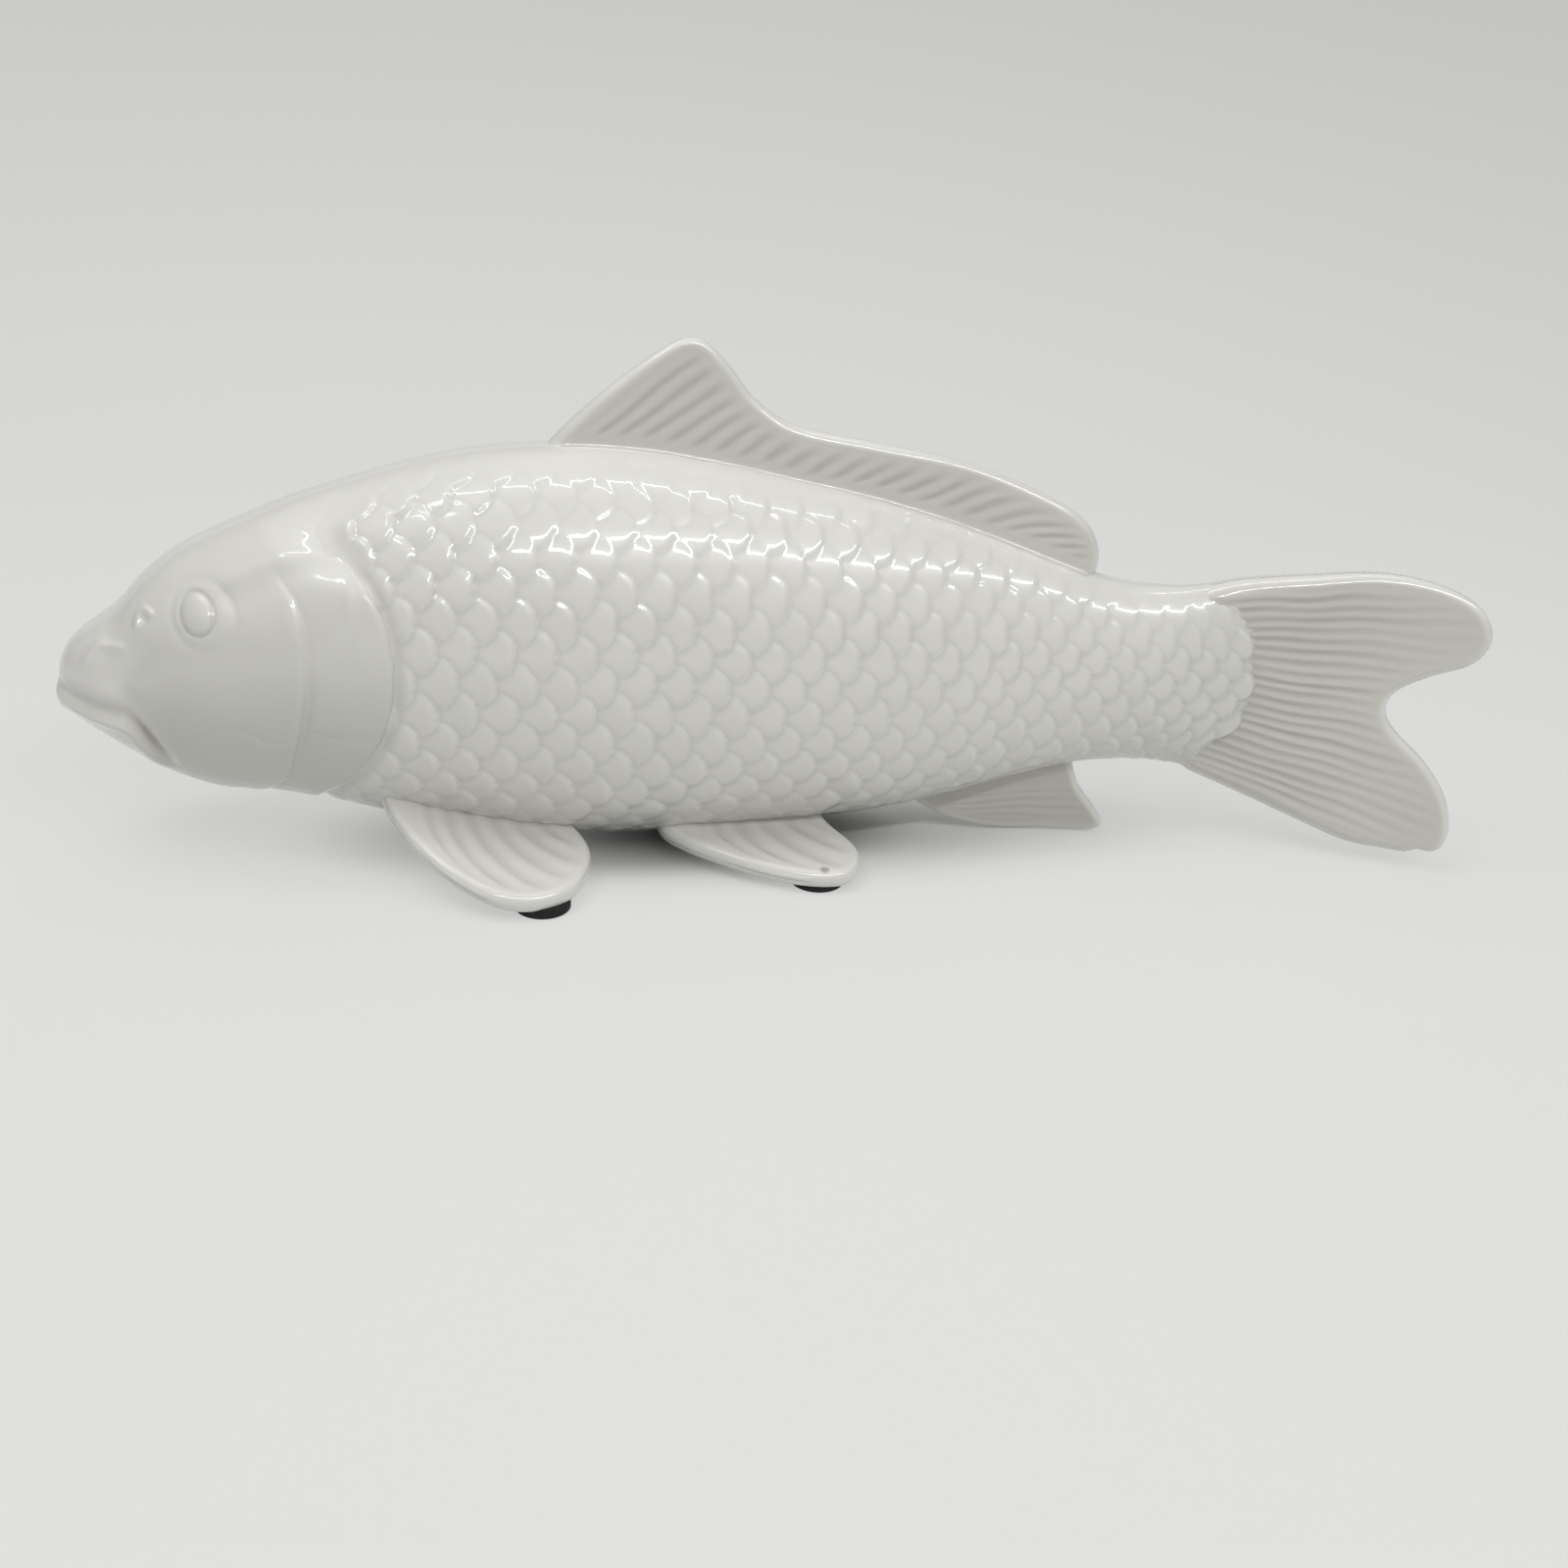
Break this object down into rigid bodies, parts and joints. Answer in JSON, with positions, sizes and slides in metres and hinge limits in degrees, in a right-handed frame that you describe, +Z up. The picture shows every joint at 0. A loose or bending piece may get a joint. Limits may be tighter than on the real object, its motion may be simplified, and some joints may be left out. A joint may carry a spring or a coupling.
{
  "type": "fish figurine",
  "caption": "Free-standing glazed porcelain carp with a hollow scaled body, gill plates, rayed fins and a tail swept to one side, resting on soft pads under its paired fins.",
  "frame": {"origin": "on the table, under the middle of the bounding box", "axes": "+X from head to tail, -Y the fish's left side, +Z up"},
  "size_m": [0.3004, 0.082, 0.1091],
  "materials": {
    "porcelain_body": "clear glossy glaze over pale grey-white porcelain",
    "porcelain_fin": "clear glossy glaze over pale grey-white porcelain, slightly warmer on the thin fins",
    "foot_pad": "matt black"
  },
  "bodies": {
    "root": {"body_shell": "porcelain_body", "dorsal_fin": "porcelain_fin", "tail_fin": "porcelain_fin", "anal_fin": "porcelain_fin", "pectoral_fin_left": "porcelain_fin", "pectoral_fin_right": "porcelain_fin", "pelvic_fin_left": "porcelain_fin", "pelvic_fin_right": "porcelain_fin", "pectoral_pad_left": "foot_pad", "pectoral_pad_right": "foot_pad", "pelvic_pad_left": "foot_pad", "pelvic_pad_right": "foot_pad"}
  },
  "joints": []
}
